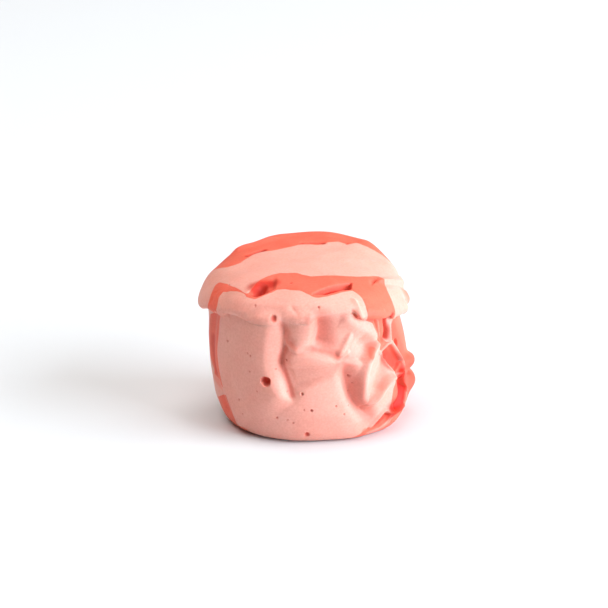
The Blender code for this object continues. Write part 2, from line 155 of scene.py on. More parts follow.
# %% Follow the outline from the base's middle to the top's middle
def control_points(bearing):
    """The half outline at each bearing, as (share of its length, radius, height)."""
    base, low, mid, high, under_cap = round_table(WALL_RADII, bearing)
    overhang, lip, shoulder = round_table(CAP, bearing)
    cap = under_cap + overhang
    tuck = ease(overhang / FULL_OVERHANG)
    rise = TOP_HEIGHT - shoulder
    flat = np.zeros_like(base)
    return (
        (0.000, flat, flat),
        (0.120, base * 0.86, flat),
        (0.150, base, flat + WALL_LEVELS[0]),
        (0.225, low, flat + WALL_LEVELS[1]),
        (0.310, mid, flat + WALL_LEVELS[2]),
        (0.460, high, flat + WALL_LEVELS[3]),
        (0.625, under_cap, lip - 0.35 + 0.5 * tuck),
        (0.645, under_cap + overhang * 0.72, lip),
        (0.670, cap, lip + 0.65),
        (0.700, cap * 0.945, shoulder),
        (0.790, cap * 0.78, shoulder + rise * 0.50),
        (0.890, cap * 0.45, shoulder + rise * 0.86),
        (1.000, flat, flat + TOP_HEIGHT),
    )


def outline(bearing, share):
    """Radius and height at a share of the half outline's length, on a smooth curve."""
    rows = control_points(bearing)
    knots = np.array([row[0] for row in rows])
    last = len(knots) - 1
    span = np.clip(np.searchsorted(knots, share, side="right") - 1, 0, last - 1)
    step = knots[span + 1] - knots[span]
    t = (share - knots[span]) / step
    each = np.arange(len(share))

    def through(values):
        def slope(i):
            before, after = np.clip(i - 1, 0, last), np.clip(i + 1, 0, last)
            return (values[after, each] - values[before, each]) / (knots[after] - knots[before])

        start, end = values[span, each], values[span + 1, each]
        return (
            (2 * t**3 - 3 * t**2 + 1) * start
            + (t**3 - 2 * t**2 + t) * step * slope(span)
            + (3 * t**2 - 2 * t**3) * end
            + (t**3 - t**2) * step * slope(span + 1)
        )

    return through(np.array([row[1] for row in rows])), through(np.array([row[2] for row in rows]))


front_middle = outline(np.zeros(1), np.full(1, 0.46))
print("front outline at mid height:", [round(float(v[0]), 2) for v in front_middle])

# %% [markdown]
# ## Folds
#
# A fold is a smooth path with a height and a width on each side of it. On the wall a path is written as
# bearings and heights above the base, and on the upper cut as plan positions, so each fold can be read off
# like a line on a map. Where ridges meet, the taller one nearly wins, and where furrows meet, the deeper
# one does, which keeps the crisp valleys between folds that plain sums would blur away.

# %% A fold and the curve it follows
from collections import namedtuple

# widths are those on the left and on the right of the path, edge is 2 for a round fold and nearer 1 for one
# that comes to a crease, and taper is the length over which the fold fades out at either end
Fold = namedtuple("Fold", "path height widths edge taper")
FOLD_REACH = 3.0  # a fold has died away this many widths from its path


def curve_through(path, steps=8):
    """A path's points joined by a smooth curve, with more points in each stretch."""
    points = np.array(path, float)
    ends = np.concatenate([[2 * points[0] - points[1]], points, [2 * points[-1] - points[-2]]])
    found = []
    for a, b, c, d in zip(ends, ends[1:], ends[2:], ends[3:]):
        for t in np.arange(steps) / steps:
            bend = 2 * a - 5 * b + 4 * c - d
            twist = 3 * b - a - 3 * c + d
            found.append(b + 0.5 * ((c - a) * t + bend * t**2 + twist * t**3))
    return np.array([*found, points[-1]])


def distance_to(path, points, reach):
    """Which points lie within reach of a curve, how far to its left each is, and how far from its ends."""
    near = np.all((points > path.min(0) - reach) & (points < path.max(0) + reach), axis=1)
    some = points[near]
    best = np.full(len(some), np.inf)
    signed = np.zeros(len(some))
    travelled = np.zeros(len(some))
    so_far = 0.0
    for a, b in zip(path, path[1:]):
        along = b - a
        length = np.hypot(*along)
        t = np.clip(((some - a) @ along) / length**2, 0.0, 1.0)
        away = some - (a + t[:, None] * along)
        distance = np.hypot(away[:, 0], away[:, 1])
        side = np.sign(along[0] * away[:, 1] - along[1] * away[:, 0])
        closer = distance < best
        best = np.where(closer, distance, best)
        signed = np.where(closer, distance * side, signed)
        travelled = np.where(closer, so_far + t * length, travelled)
        so_far += length
    return near, signed, np.minimum(travelled, so_far - travelled)


def fold_relief(fold, points):
    """How far a fold moves each point outwards. Points and path are lengths on one flat sheet."""
    moved = np.zeros(len(points))
    reach = FOLD_REACH * max(fold.widths)
    near, signed, from_end = distance_to(curve_through(fold.path), points, reach)
    width = np.where(signed > 0, fold.widths[0], fold.widths[1])
    fade = ease(from_end / fold.taper) if fold.taper else 1.0
    moved[near] = fold.height * fade * np.exp(-(np.abs(signed / width) ** fold.edge))
    return moved


sample = Fold([(0, 0), (9, 0)], 1.0, (0.6, 0.6), 2.0, 0.6)
print("a fold 0.3 mm from its own crest keeps", fold_relief(sample, np.array([[4.0, 0.3]])).round(2))

# %% A pocket: a sunken place with corners
# corners run anticlockwise, and each side has the width of its own wall, thin for an undercut-looking edge
Pocket = namedtuple("Pocket", "corners depth walls")


def pocket_share(pocket, points):
    """1 on a pocket's floor and 0 outside it."""
    corners = np.array(pocket.corners, float)
    kept = np.ones(len(points))
    for a, b, wall in zip(corners, np.roll(corners, -1, axis=0), pocket.walls):
        along = (b - a) / np.hypot(*(b - a))
        inside = along[0] * (points[:, 1] - a[1]) - along[1] * (points[:, 0] - a[0])
        kept *= ease(inside / wall)
    return kept


sample = Pocket([(0, 0), (2, 0), (2, 2), (0, 2)], 1.0, [0.3] * 4)
print("a pocket's middle:", pocket_share(sample, np.array([[1.0, 1.0]])))

# %% Folds in the wall, as bearings and heights
# these ridges also carry a thin smear of pale taffy
WEDGE_STRIPE = [(45.8, 15.5), (47.8, 14.1), (48.8, 12.7)]
WEDGE_RIDGE = [(61, 15.3), (59.5, 14.4), (58.2, 13.4), (57.4, 12.6), (56.8, 11.9), (55.4, 11.3)]
FACET_UPPER_RIM = [(46.4, 10.7), (48, 11.2), (53.1, 11.6), (58, 11.9)]
FACET_RIGHT_RIM = [(57, 12.1), (58.6, 11.8), (63, 10.5), (67.8, 9.1), (70.4, 8.1), (68, 7.4),
                   (62, 7.4)]
TROUGH_LOOP = [(70.8, 7.9), (70.5, 7.2), (69.3, 6.5), (69.8, 5.8), (73, 4.9), (76.5, 4.1)]
PLEAT_CREST = [(40.5, 1.5), (43, 1.9), (45.5, 2.35), (48.2, 2.95), (51, 3.45), (54.5, 3.3)]
PLEAT_LOOP = [(56, 2.9), (54.5, 2), (51.5, 1.4), (48.5, 0.9)]

WALL_FOLDS = (
    # the long furrow down the front and the rounded pillar to its left
    Fold([(-14, 17.2), (-13.5, 15.8), (-13, 14.5), (-13, 13.4), (-13.8, 12.3), (-14.8, 11.2),
          (-14.4, 10.1), (-12.6, 8.8), (-10.4, 7.6), (-8.4, 6.5), (-6.8, 5.5)],
         -0.82, (0.9, 0.4), 1.7, 2.4),
    Fold([(-13.2, 15.4), (-11.4, 14.4), (-8.8, 13.5), (-5.6, 12.8)], -0.6, (0.7, 0.5), 1.7, 1.2),
    Fold([(-13.8, 11.2), (-13.4, 9.8), (-11, 8.2), (-8.4, 6.8)], -0.72, (4.4, 0.4), 1.5, 1.3),
    Fold([(-20.5, 18), (-21.8, 16.1), (-23, 14.3), (-23.9, 12.4), (-23.9, 10.8), (-21.8, 9.1),
          (-18.7, 7.6), (-14.8, 6.4), (-10, 5.2)], 0.8, (1.25, 3.2), 2, 2.4),
    # the fold that drapes from the cap and sweeps left across the furrow
    Fold([(-0.5, 18), (0.3, 16.9), (0.9, 15.9), (0.4, 14.9), (-2.4, 14), (-6.2, 13.2), (-10.2, 12.4)],
         0.55, (0.95, 2.2), 2.6, 1),
    Fold([(6.6, 17.2), (7, 16.2), (7.2, 15.2), (6.8, 14.4), (5.6, 13.6), (3.4, 12.9)],
         -1.25, (2, 0.5), 1.5, 1.3),
    # the sunken panel right of it, closed below by a long slanting ridge
    Fold([(-1, 12.7), (4, 12.45), (9, 12.15), (14, 11.8), (19.8, 11.35)], -0.35, (1.2, 0.3), 1.6, 1),
    Fold([(-13.5, 11.5), (-9, 11.8), (-2.8, 12), (3.5, 12.05), (9.4, 11.75), (15.4, 11.4), (21.6, 10.95),
          (26.7, 10.6), (33, 10.4), (38, 10.4)], 0.5, (0.42, 2), 1.8, 1.1),
    # two thin slanting folds at the panel's right-hand end
    Fold([(27.3, 15), (24, 13.8), (21.7, 12.8), (19.3, 12), (17.9, 11.3)], 0.3, (0.5, 0.3), 1.7, 0.8),
    Fold([(23.6, 13.6), (22, 12.9), (20.9, 12.2)], -0.16, (0.13, 0.2), 2, 0.4),
    Fold([(17.6, 11.2), (19.1, 11.4), (22.6, 11.9), (26.2, 12.4)], 0.24, (0.3, 0.22), 1.7, 0.6),
    Fold([(29, 14), (34, 12.9), (38.5, 11.7), (39, 10.9)], -0.3, (1.1, 1), 2, 1),
    # the deep furrow, and the sharp ridge beyond it
    Fold([(20, 11.6), (21.8, 10.4), (23.6, 9), (25.2, 7.8), (27.6, 6.4), (31, 5.2), (35.5, 4.1),
          (41, 3.1), (44.5, 2.4)], -1.15, (1, 0.8), 1.7, 2.6),
    Fold([(44.5, 13), (41.5, 12.3), (38.6, 11.5), (36, 10.6), (34.2, 9.5), (33.2, 8.3), (32.9, 7),
          (33.4, 6), (35.4, 5.3), (38, 5)], 1.05, (0.8, 0.7), 1.9, 0.6),
    # the scoop that the ridge shares with its neighbour, which closes it below in a V
    Fold([(55, 11), (52.5, 10.1), (49.5, 8.6), (46.3, 7.2), (43.5, 5.9)], -0.5, (1, 0.9), 2, 0.8),
    Fold([(34.5, 4.7), (37.5, 4.9), (41.6, 5.2), (46.2, 5.9), (50.4, 6.7), (54.8, 7.3), (60, 7.5)],
         0.85, (0.5, 0.6), 1.8, 0.7),
    # the bright band that runs along the cap's underside
    Fold([(19, 17), (22.5, 16.7), (26, 16), (30.8, 15.2), (36.2, 14.4), (41.2, 13.4), (45, 12.3)],
         0.5, (0.8, 1), 2, 1.4),
    # the wedge below the cap's right-hand corner, its stripe and slit, and the ridge beside them
    Fold([(43, 15.7), (45.8, 14.5), (48.5, 13.3), (50.5, 12.2)], -0.35, (0.8, 0.3), 1.6, 0.4),
    Fold(WEDGE_STRIPE, 0.25, (0.2, 0.22), 2, 0.5),
    Fold([(54, 15.7), (54.5, 14.6), (55.2, 13.7), (54.2, 12.9), (52.6, 12)], -0.6, (0.3, 0.35), 2.4, 0.9),
    Fold(WEDGE_RIDGE, 0.45, (0.35, 0.3), 1.8, 0.5),
    # thin raised rims round the sunken facet
    Fold(FACET_UPPER_RIM, 0.28, (0.18, 0.16), 1.8, 0.3),
    Fold([(47.4, 11.3), (51, 10.1), (55, 8.9), (59.5, 7.7)], 0.22, (0.15, 0.16), 1.8, 0.3),
    Fold(FACET_RIGHT_RIM, 0.42, (0.22, 0.26), 1.9, 0.5),
    # two rounded bumps that stand out of the right-hand outline, and the neck between them
    Fold([(73, 8.4), (80, 7.9), (87, 7.35), (94, 7.2), (100, 7.7), (104, 8.8)], 0.85, (0.8, 0.9), 2.4, 2.6),
    Fold([(78, 4.3), (84, 4.45), (90, 4.6), (97, 4.6), (106, 4), (115, 4.2)], 0.8, (1, 1.1), 2.4, 2.6),
    Fold([(75, 6.4), (82, 6.1), (89, 5.9), (94, 5.8)], -0.16, (0.35, 0.35), 2, 1.4),
    # the trough inside them with its thin loop
    Fold([(66.5, 7), (66, 6.2), (66.5, 5.3), (65.5, 4.4), (62.5, 3.7), (57.5, 3.2)],
         -0.6, (0.62, 0.62), 2.2, 0.6),
    Fold(TROUGH_LOOP, 0.3, (0.18, 0.2), 1.8, 0.6),
    # the small rolled pleat by the base
    Fold(PLEAT_CREST, 0.3, (0.2, 0.17), 1.8, 0.4),
    Fold([(45.5, 1.6), (49, 2.3), (52.5, 2.8), (54.5, 2.7)], -0.35, (0.26, 0.28), 2, 0.4),
    Fold(PLEAT_LOOP, 0.26, (0.18, 0.2), 1.8, 0.4),
    Fold([(51.5, 3.4), (55, 3), (59.7, 2.7), (65, 2.8), (70, 3.2)], 0.4, (0.26, 0.3), 1.8, 0.5),
    Fold([(57, 1.5), (64, 1.8), (72, 2.1)], -0.25, (0.3, 0.4), 1.8, 0.6),
    # the front slab's left-hand edge, which stands proud of the coral beside it
    Fold([(-50, 16.5), (-54.5, 15.8), (-57.2, 14.4), (-58.8, 12.4), (-60.8, 10.3), (-60.6, 9.2),
          (-59.8, 8.1), (-57.6, 6.5), (-54.5, 5.2), (-52, 3.8), (-50.8, 2.4), (-50.5, 0.6)],
         0.35, (1.3, 0.25), 1.9, 0.6),
    Fold([(-64, 16), (-69, 14.2), (-71.5, 12.2), (-73.5, 10.2), (-74, 8.6), (-72.5, 7.3), (-68.5, 5.9),
          (-64.5, 4.5), (-61.2, 3.1), (-59, 2)], -0.35, (0.8, 1), 2, 0.8),
    Fold([(-78, 7), (-85, 5.2)], -0.25, (1, 1), 2, 0),
)
WALL_POCKETS = (
    # the sunken facet of the crumpled side
    Pocket([(48, 11), (59.8, 7.7), (69, 8.7), (58.2, 11.6)], 0.4, [0.2] * 4),
)
# folds of the cap's lip, written like those of the wall
LIP_FOLDS = (
    Fold([(-10, 18.4), (-8.1, 18), (-5.7, 17.5), (-3, 16.9)], -0.08, (0.24, 0.2), 1.8, 0.5),
    Fold([(-5.8, 16.3), (-4.5, 16.5), (-1.7, 16.8), (0.5, 17.2), (2, 17.6)], -0.09, (0.2, 0.26), 1.8, 0.5),
    Fold([(-12.8, 17.9), (-11.4, 17.5), (-8.9, 17.1), (-7.5, 16.5)], 0.08, (0.5, 0.5), 2, 0.5),
    # the curl where the front slab's lip ends
    Fold([(30, 18.6), (29.5, 17.9), (29.8, 17.3), (30.8, 16.6), (32.2, 16.2)], 0.35, (0.35, 0.4), 1.8, 0.4),
    Fold([(25, 17.6), (26.2, 17.3), (28.3, 16.8), (30.5, 16.3), (33, 15.9)], -0.27, (0.2, 0.16), 1.8, 0.4),
    Fold([(34.4, 17.3), (40, 17), (46, 16.7), (49, 16.6)], 0.12, (0.15, 0.3), 2, 0.4),
    # the corner and the bump on the right-hand outline, and the hollow left of the front slab's other end
    Fold([(87, 15.9), (90, 15.2)], 0.5, (0.75, 0.75), 2.4, 0),
    Fold([(74, 15.2), (76, 14.7)], 0.35, (0.8, 0.8), 2.2, 0),
    Fold([(81, 15.4), (81.5, 14.6)], -0.25, (0.4, 0.4), 2, 0),
    Fold([(-60, 18.1), (-53.5, 17.6), (-48.5, 16.9)], -0.1, (0.5, 0.5), 2, 0.8),
    Fold([(-63, 16.4), (-64.5, 17.4), (-66, 18)], -0.12, (0.45, 0.45), 2, 0.4),
)
print("folds drawn on the wall:", len(WALL_FOLDS), "and on the lip:", len(LIP_FOLDS))

# %% [markdown]
# The side that faces away gets its creases from one rule: a loose fan of ridges and furrows, as a twisted
# wrapper presses them. The draw is seeded, so the fan is the same each time. Its paths are those of the
# packed slabs' fan, with ends that fade out.

# %% A fan of creases behind
BACK_FOLD_COUNT = 15
BACK_BEARINGS = (104.0, 258.0)
BACK_FOLD_HEIGHTS = (0.3, 0.7)
BACK_FOLD_WIDTHS = (0.5, 1.2)
BACK_FOLD_EDGE = 2.0
BACK_FOLD_TAPER = 2.0
BACK_SEED = 11


def back_folds():
    draw = np.random.default_rng(BACK_SEED)
    folds = []
    for n in range(BACK_FOLD_COUNT):
        first, last = BACK_BEARINGS
        bearing = first + (last - first) * (n + draw.uniform(0.2, 0.8)) / BACK_FOLD_COUNT
        low = draw.uniform(3.2, 6.5)
        high = low + draw.uniform(4.0, 8.0)
        lean = draw.uniform(-12.0, 12.0)
        sway = draw.uniform(-5.0, 5.0)
        path = [(bearing, low), (bearing + lean / 2 + sway, (low + high) / 2), (bearing + lean, high)]
        height = draw.uniform(*BACK_FOLD_HEIGHTS) * (1 if n % 2 else -1)
        widths = tuple(draw.uniform(*BACK_FOLD_WIDTHS, size=2))
        folds.append(Fold(path, height, widths, BACK_FOLD_EDGE, BACK_FOLD_TAPER))
    return folds


print("creases behind:", len(back_folds()))

# %% Folds and openings in the upper cut, as plan positions
CAP_FOLDS = (
    Fold([(8.6, -4.2), (9.5, -3.1), (10.2, -2.2), (11, -0.8), (11.9, 2.2)], 0.35, (0.5, 0.15), 1.7, 0.5),
    Fold([(9.2, -4), (10.1, -3), (10.8, -2), (11.5, -0.4), (12.2, 1.8)], -0.2, (0.15, 0.6), 1.7, 0.5),
    Fold([(-9.5, -1), (-4, 1.5), (2, 1.2)], -0.16, (2.2, 2.2), 2, 2),
    # two short slits along the last seam
    Fold([(-7.6, 4), (-6.4, 4.9), (-4.6, 5.3)], -0.6, (0.36, 0.26), 1.8, 1.3),
    Fold([(-1, 7.05), (0.7, 7.3), (2.7, 6.85)], -0.6, (0.4, 0.28), 1.8, 1.4),
    Fold([(3, 8.9), (7, 7.8)], 0.2, (1.3, 1.3), 2, 0),
    Fold([(-8.4, 8), (-4.5, 9.6)], 0.25, (0.8, 0.8), 2, 0),
)
CAP_POCKETS = (
    # the torn opening at the front left, with a steep right-hand end and a long slope behind
    Pocket([(-7.3, -8.5), (-6.2, -9.5), (-5.2, -9.4), (-3.5, -8.25), (-3.4, -4.5), (-5.2, -4.9)],
           0.25, [0.3, 0.3, 0.3, 0.5, 1.4, 1.8]),
    Pocket([(-7.2, -8.4), (-6.2, -9.4), (-5.2, -9.3), (-4.2, -8.5), (-4.1, -6.2), (-5.8, -5.9)],
           1.4, [0.4, 0.3, 0.3, 1.5, 1.5, 1.4]),
    # the long slit behind the front lip
    Pocket([(0.4, -10), (2.4, -10), (5.5, -7.9), (5.6, -5.8), (2.2, -8.2)], 0.75,
           [0.3, 0.3, 0.2, 0.3, 0.3]),
    # a faint facet in the right-hand corner
    Pocket([(7.5, -3.9), (7.8, -6.2), (9.1, -2.2)], 0.3, [0.8, 0.25, 0.6]),
)
print("folds drawn on the cap:", len(CAP_FOLDS), "and openings:", len(CAP_POCKETS))

# %% Air bubbles that opened in the skin: where, how deep and how wide
Bubble = namedtuple("Bubble", "at depth radius")
WALL_BUBBLES = [Bubble(*row) for row in (
    ((-22.3, 8.7), 1, 0.62),
    ((-17.9, 16.7), 0.35, 0.36),
    ((65.5, 11.2), 0.7, 0.5),
    ((0.6, 1.4), 0.3, 0.34),
    ((7.1, 18.1), 0.2, 0.17),
    ((-30.3, 17.8), 0.15, 0.13),
    ((-11.4, 11.3), 0.25, 0.17),
    ((26.3, 8.9), 0.3, 0.2),
    ((28.6, 7.9), 0.15, 0.13),
    ((27, 6.7), 0.15, 0.13),
    ((-2.3, 7.1), 0.25, 0.19),
    ((3.2, 4.9), 0.25, 0.19),
    ((-1.2, 5), 0.12, 0.12),
    ((-17.7, 3.7), 0.2, 0.16),
    ((-11.3, 3.5), 0.12, 0.13),
    ((-8, 3.1), 0.16, 0.14),
    ((17.7, 5.3), 0.15, 0.14),
    ((26, 5.1), 0.12, 0.13),
    ((22.9, 4.1), 0.12, 0.13),
    ((-11, 7.3), 0.12, 0.12),
    ((-51.8, 12.3), 0.16, 0.15),
    ((-33.8, 11.8), 0.14, 0.13),
    ((-31.7, 11.6), 0.14, 0.13),
    ((-32.6, 9.5), 0.14, 0.13),
    ((-28.2, 7.1), 0.14, 0.13),
    ((-44, 5.1), 0.14, 0.14),
    ((-42.8, 3.2), 0.12, 0.12),
    ((-17.3, 10.2), 0.12, 0.12),
)]
CAP_BUBBLES = [Bubble(*row) for row in (
    ((-1.8, -7.1), 0.2, 0.17),
    ((-9.3, -4.9), 0.15, 0.14),
    ((5.1, 7), 0.2, 0.22),
)]
print("bubbles opened:", len(WALL_BUBBLES) + len(CAP_BUBBLES))

# %% [markdown]
# ## The fine skin
#
# The skin starts as a cube divided so finely that its faces end up about a tenth of a millimetre across,
# then every corner is moved: onto a ball, onto the outline, and last by the relief of folds and bubbles. A
# cube's faces spread more evenly over a ball than rings and a pole would, and leave no pinched pole
# on the top, where the smeared cut has to stay smooth.

# %% Add up folds and bubbles
def on_sheet(path):
    """A wall path, in bearings and heights, as lengths on the unrolled wall."""
    return [(math.radians(bearing) * MEAN_RADIUS, height) for bearing, height in path]


CUT_BEFORE = 60.0  # the sheet is cut open this many degrees to the left of a path's first bearing


def sheet_near(path, bearing, z):
    """Points of the wall on the unrolled sheet, cut open on the side away from a path."""
    start = min(b for b, _ in path) - CUT_BEFORE
    turned = (bearing - start) % 360.0 + start
    return np.stack([np.radians(turned) * MEAN_RADIUS, z], axis=1)


def front_sheet(bearing, z):
    """The sheet cut open behind, for pockets and bubbles, which all lie on the front and the sides."""
    return sheet_near([(-120.0, 0.0)], bearing, z)


def bubble_share(bubble, points, at):
    """1 at a bubble's middle and 0 outside it, round like a ball's inside."""
    away = np.hypot(*(points - at).T) / bubble.radius
    return np.sqrt(np.clip(1.0 - away**2, 0.0, 1.0))


BLEND = 5.0  # the higher, the more the tallest of several ridges wins over the others

# shares of the half outline at which each place begins or ends, and how long the change takes
WALL_BEGINS, WALL_ENDS = (0.15, 0.05), (0.69, 0.025)
ENDS_SOONER = 0.055  # under a full overhang. Elsewhere the wall's folds run on up the cap's side
LIP_BEGINS, LIP_ENDS = (0.61, 0.02), (0.74, 0.04)
CAP_BEGINS = (0.66, 0.03)
SIDE_ENDS = (0.76, 0.04)


def past(share, change):
    """0 before a change and 1 after it."""
    begins, length = change
    return ease((share - begins) / length)


def relief(bearing, share, points):
    """How far folds and bubbles move each point of the smooth chunk outwards."""
    tuck = ease(round_table(CAP, bearing)[0] / FULL_OVERHANG)
    wall_ends = WALL_ENDS[0] - ENDS_SOONER * tuck, WALL_ENDS[1]
    on_wall = past(share, WALL_BEGINS) * (1.0 - past(share, wall_ends))
    on_lip = past(share, LIP_BEGINS) * (1.0 - past(share, LIP_ENDS))
    on_cap = past(share, CAP_BEGINS)
    on_side = 1.0 - past(share, SIDE_ENDS)
    sheet = front_sheet(bearing, points[:, 2])
    plan = points[:, :2]

    moves = []
    for place, folds in ((on_wall, (*WALL_FOLDS, *back_folds())), (on_lip, LIP_FOLDS)):
        for fold in folds:
            sheet_here = sheet_near(fold.path, bearing, points[:, 2])
            moves.append(place * fold_relief(fold._replace(path=on_sheet(fold.path)), sheet_here))
    moves += [on_cap * fold_relief(fold, plan) for fold in CAP_FOLDS]
    proud = sum(np.maximum(moved, 0.0) ** BLEND for moved in moves) ** (1.0 / BLEND)
    sunk = -(sum(np.maximum(-moved, 0.0) ** BLEND for moved in moves) ** (1.0 / BLEND))
    for pocket in WALL_POCKETS:
        unrolled = pocket._replace(corners=on_sheet(pocket.corners))
        sunk = np.minimum(sunk, -pocket.depth * on_wall * pocket_share(unrolled, sheet))
    for pocket in CAP_POCKETS:
        sunk = np.minimum(sunk, -pocket.depth * on_cap * pocket_share(pocket, plan))
    for bubble in WALL_BUBBLES:
        sunk -= bubble.depth * on_side * bubble_share(bubble, sheet, on_sheet([bubble.at])[0])
    for bubble in CAP_BUBBLES:
        sunk -= bubble.depth * on_cap * bubble_share(bubble, plan, bubble.at)
    return proud + sunk


# %% Make the skin of the whole chunk
SKIN_CELLS = 165
FINE_SIDE = math.radians(25.0)  # the bearing with the finest folds
FINER = 0.3  # how much the cells shrink on that side and grow on the other


def mesh_points(mesh, what="co"):
    found = np.empty(len(mesh.vertices) * 3)
    mesh.vertices.foreach_get(what, found)
    return found.reshape(-1, 3)


def set_points(mesh, points):
    mesh.vertices.foreach_set("co", ((points - MIDDLE) * MM).ravel())
    mesh.update()


def make_skin():
    shape = bmesh.new()
    bmesh.ops.create_cube(shape, size=2.0)
    bmesh.ops.subdivide_edges(shape, edges=shape.edges[:], cuts=SKIN_CELLS - 1, use_grid_fill=True)
    mesh = bpy.data.meshes.new("chunk_skin")
    shape.to_mesh(mesh)
    shape.free()

    ball = np.tan(mesh_points(mesh) * math.pi / 4)
    ball /= np.linalg.norm(ball, axis=1)[:, None]
    share = np.arccos(np.clip(-ball[:, 2], -1.0, 1.0)) / math.pi
    turn = np.arctan2(ball[:, 0], -ball[:, 1])
    turn -= FINER * np.sin(turn - FINE_SIDE)
    bearing = (np.degrees(turn) + 180.0) % 360.0 - 180.0

    radius, height = outline(bearing, share)
    turn = np.radians(bearing)
    points = np.stack([radius * np.sin(turn), -radius * np.cos(turn), height], axis=1)
    set_points(mesh, points)
    points += mesh_points(mesh, "normal") * relief(bearing, share, points)[:, None]
    points[:, 2] = np.maximum(points[:, 2], 0.0)
    set_points(mesh, points)
    return mesh


skin = make_skin()
print("skin:", len(skin.polygons), "faces")

# %% [markdown]
# ## Where one colour ends and the next begins
#
# The seams between the slabs are sheets that run through the chunk from top to bottom. Each is written as
# the y of its line across the upper cut, keyed by x, and of its lines down the two sides, keyed by height.
# A slab is then a thick plate with a seam for each face, and a Boolean keeps the part of the skin inside
# it. The right-hand lines of the last two seams lie so close that the middle slab is pinched to a pale
# thread there.

# %% The seams' lines
Seam = namedtuple("Seam", "middle_y top left right")
SEAMS = (
    Seam(
        -9,
        {-12: -7.3, -10.7: -7.2, -10.6: -6.5, -10.3: -6.2, -10: -6, -9.3: -6.5, -8.4: -7.2, -7.8: -7.8,
         -7.4: -8.3, -7.1: -9, -6.7: -9.3, -6.1: -9.7, -5.5: -9.6, -4.8: -9.3, -4.1: -9, -3.5: -8.5,
         -2.6: -8.5, -1.7: -8.9, -0.7: -9.1, 0.2: -9.9, 0.9: -10.5, 1.4: -10.6, 2.4: -10.3, 3.3: -9.8,
         4.5: -9, 5.5: -8.1, 6: -8.5, 6.6: -9, 7: -9.7, 7.3: -10.6, 12: -10.9},
        {16.4: -7.3, 15.7: -6.6, 14.3: -6, 12.3: -5.9, 10.2: -5.5, 9.3: -5.7, 8.1: -5.75, 6.5: -6,
         5.6: -6.35, 4.3: -6.8, 3: -6.8, 1.65: -6.3, 0.8: -5.4, 0: -4.8},
        {16.2: -10.2, 15.5: -9.2, 14.4: -8.8, 13.4: -8.6, 12.4: -8.3, 11.2: -8, 10.8: -7.6, 9.8: -6.7,
         8.9: -6.5, 8.2: -6.4, 7.7: -6.1, 7.2: -6, 6.7: -6.1, 5.8: -6.7, 4.8: -6.9, 4.2: -7, 3.6: -7.2,
         3.1: -7.6, 2.3: -8.2, 1.7: -8.6, 0.9: -9.1, 0: -9.3},
    ),
    Seam(
        -5.8,
        {-13: -5.5, -11.9: -5.4, -11.6: -5, -11.3: -4.1, -11: -3.2, -10.6: -3, -9.7: -4.4, -8.8: -5.8,
         -7.9: -7.2, -7.6: -7.9, -7.2: -8.4, -6.9: -8.3, -6.4: -7.3, -5.9: -6.1, -5.3: -5.3, -4.6: -4.7,
         -3.9: -4.3, -3.2: -4, -2.2: -4.1, -1.2: -4.1, -0.2: -4.9, 0.7: -5.3, 1.7: -5.1, 3.1: -4.7,
         4.6: -4.4, 6: -4, 7.5: -3.1, 8.8: -2.1, 9.3: -2.4, 9.6: -3.6, 9.8: -4.8, 10.1: -5.5,
         10.5: -6.2, 10.9: -6.6, 13: -6.9},
        {16: -5, 15.2: -3.6, 14: -2.6, 13: -2, 10.7: -1.2, 8.9: -1.5, 7.2: -1.8, 6.5: -2.6, 6: -4.6,
         5.6: -6, 4.9: -6.3, 4.3: -4.6, 3.4: -3.2, 2: -3, 0: -3.0},
        {15: -6.6, 14: -6.8, 13.4: -6.9, 12.6: -7.1, 12.1: -7.2, 11.6: -6.2, 11.3: -5.7, 10.2: -5.1,
         8.9: -4.7, 8: -4.3, 7.4: -4.1, 6.8: -4.4, 6.2: -4.8, 5.6: -4.5, 4.7: -3.4, 3.8: -3.2, 2.8: -3.4,
         1.5: -3.2, 0: -3.0},
    ),
    Seam(
        6.8,
        {-12.5: 3, -11.3: 2.8, -10.6: 2.2, -9.7: 1.5, -9: 1.6, -8.1: 1.9, -7.3: 3.3, -6.4: 4.3, -5.4: 4.7,
         -4.4: 4.7, -3.2: 5.2, -2: 5.7, -0.7: 6.6, 0.2: 6.6, 1.5: 6.3, 2.7: 7.3, 4: 7.6, 5.2: 6.8,
         6.2: 7.3, 7.4: 6.7, 8.4: 6.2, 9.2: 5.7, 10.5: 4.8, 11.5: 3.4, 11.9: 2.4, 12.3: 0.3, 13: -0.2},
        {16: 3, 12: 4.6, 8: 4.2, 4: 5.2, 0: 4.6},
        {15: -3.2, 14: -4.2, 13.3: -5.4, 12.7: -6.2, 12.1: -6.6, 11.6: -5.8, 11.3: -5.3, 10.2: -4.75,
         8.9: -4.35, 8: -3.95, 7.4: -3.75, 6.8: -4.05, 6.2: -4.45, 5.6: -4.15, 4.7: -3.05, 3.8: -2.85,
         2.8: -3.05, 1.5: -2.8, 0: -2.6},
    ),
)
print("seams:", len(SEAMS))

# %% Work out a seam's place
THINNEST_LAYER = 0.22  # leaves the pinched middle slab as wide as the pale thread
SLAB_GAP = 0.02  # hides between the slabs, and keeps their faces from lying in one place
SEAM_REACH = 10.0  # a seam has bent all the way to its side line this far from the middle
LINE_SOFTNESS = 0.4  # rounds the corners of a seam's line a little, and leaves it jagged
# the upper line takes over from the side lines at the lip's height, which is lower at the sides
LIP_AT_MIDDLE, LIP_AT_SIDE, LIP_BLEND = 16.6, 14.5, 0.9
LIP_REACH = 11.0


def line_table(table, at):
    """Values of a table keyed by a length, blended smoothly and held past its ends."""
    keys = np.array(sorted(table), float)
    values = np.array([table[k] for k in sorted(table)], float)
    i = np.clip(np.searchsorted(keys, at, side="right") - 1, 0, len(keys) - 2)
    share = np.clip((at - keys[i]) / (keys[i + 1] - keys[i]), 0.0, 1.0)
    share = (1.0 - LINE_SOFTNESS) * share + LINE_SOFTNESS * ease(share)
    return values[i] * (1.0 - share) + values[i + 1] * share


